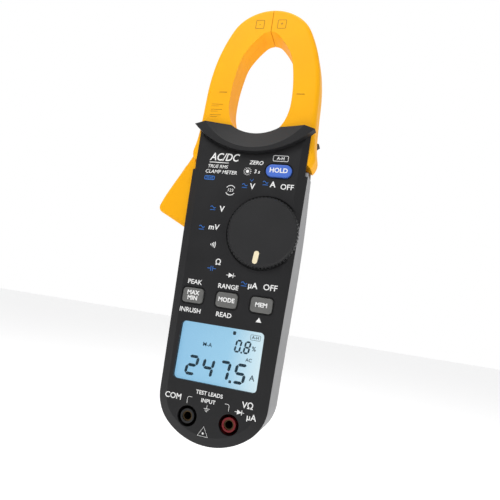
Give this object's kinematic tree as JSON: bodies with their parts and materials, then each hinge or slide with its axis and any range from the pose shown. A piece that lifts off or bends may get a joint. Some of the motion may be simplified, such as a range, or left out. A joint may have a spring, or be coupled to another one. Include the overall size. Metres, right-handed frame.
{
  "type": "clamp meter",
  "caption": "Hand-held electrical clamp meter: two hinged jaws opened by a side trigger, rotary range selector, lit display, push buttons and shrouded test sockets.",
  "frame": {"origin": "centre of a conductor held in the closed jaws: on the line between the two centring marks, at mid thickness of the jaws", "axes": "+Z towards the jaw tips along the meter's length, the face looks to -Y, +X is the right side seen from the front"},
  "size_m": [0.0857, 0.038, 0.2424],
  "materials": {
    "black_shell": "fine matte moulded black",
    "grey_shell": "satin moulded grey",
    "screw_steel": "zinc plated",
    "pin_steel": "ground",
    "spring_steel": "drawn wire",
    "contact_brass": "plain",
    "switch_black": "gloss",
    "clear_lens": "clear polished",
    "display_glass": "lit liquid crystal display",
    "light_guide": "opal",
    "circuit_board": "solder resist",
    "chip_black": "moulded",
    "battery_can": "plain wrap",
    "snap_black": "moulded",
    "socket_black": "gloss",
    "socket_red": "gloss",
    "jaw_yellow": "satin moulded yellow-orange",
    "core_steel": "laminated",
    "copper_winding": "enamelled copper wire",
    "knob_black": "matte",
    "pointer_cream": "paint-filled slot",
    "rotor_white": "moulded",
    "button_blue": "satin",
    "key_grey": "satin"
  },
  "bodies": {
    "case": {"front_cover": "black_shell", "rear_cover": "grey_shell", "rear_guard": "black_shell", "case_screws": "screw_steel", "battery_cover": "grey_shell", "battery_cover_screw": "screw_steel", "left_pivot_pin": "pin_steel", "right_pivot_pin": "pin_steel", "left_jaw_spring": "spring_steel", "right_jaw_spring": "spring_steel", "detent_leaf": "contact_brass", "hold_switch": "switch_black", "key_switches": "switch_black", "lcd_lens": "clear_lens", "lcd_glass": "display_glass", "lcd_backlight": "light_guide", "main_board": "circuit_board", "board_chips": "chip_black", "buzzer": "chip_black", "battery": "battery_can", "battery_snap": "snap_black", "com_socket": "socket_black", "input_socket": "socket_red", "com_contact": "contact_brass", "input_contact": "contact_brass"},
    "left_jaw": {"left_jaw_front": "jaw_yellow", "left_jaw_rear": "jaw_yellow", "left_core": "core_steel", "left_coil": "copper_winding", "left_jaw_screw": "screw_steel"},
    "right_jaw": {"right_jaw_front": "jaw_yellow", "right_jaw_rear": "jaw_yellow", "right_core": "core_steel", "right_coil": "copper_winding", "right_jaw_screw": "screw_steel"},
    "selector": {"selector_knob": "knob_black", "knob_pointer": "pointer_cream", "selector_rotor": "rotor_white", "wiper_contacts": "contact_brass"},
    "hold": {"hold_button": "button_blue"},
    "key_1": {"key_left": "key_grey"},
    "key_2": {"key_middle": "key_grey"},
    "key_3": {"key_right": "key_grey"}
  },
  "joints": [
    {"name": "left_jaw_hinge", "type": "hinge", "parent": "case", "child": "left_jaw", "pos_m": [-0.02, 0, -0.036], "axis": [0, -1, 0], "range_deg": [0, 13.5], "stiffness_Nm_per_rad": 1.5, "springref_deg": -22.92},
    {"name": "right_jaw_hinge", "type": "hinge", "parent": "case", "child": "right_jaw", "pos_m": [0.02, 0, -0.036], "axis": [0, 1, 0], "range_deg": [0, 13.5]},
    {"name": "selector_turn", "type": "hinge", "parent": "case", "child": "selector", "pos_m": [0.0137, 0, -0.0793], "axis": [0, -1, 0], "range_deg": [-193.5, 21.5]},
    {"name": "hold_press", "type": "slide", "parent": "case", "child": "hold", "axis": [0, 1, 0], "range_m": [0, 0.0006], "stiffness_N_per_m": 600, "springref_m": -0.0004},
    {"name": "key_1_press", "type": "slide", "parent": "case", "child": "key_1", "axis": [0, 1, 0], "range_m": [0, 0.0006], "stiffness_N_per_m": 600, "springref_m": -0.0004},
    {"name": "key_2_press", "type": "slide", "parent": "case", "child": "key_2", "axis": [0, 1, 0], "range_m": [0, 0.0006], "stiffness_N_per_m": 600, "springref_m": -0.0004},
    {"name": "key_3_press", "type": "slide", "parent": "case", "child": "key_3", "axis": [0, 1, 0], "range_m": [0, 0.0006], "stiffness_N_per_m": 600, "springref_m": -0.0004}
  ],
  "couplings": [
    {"joint": "right_jaw_hinge", "follows": "left_jaw_hinge", "ratio": 1}
  ]
}
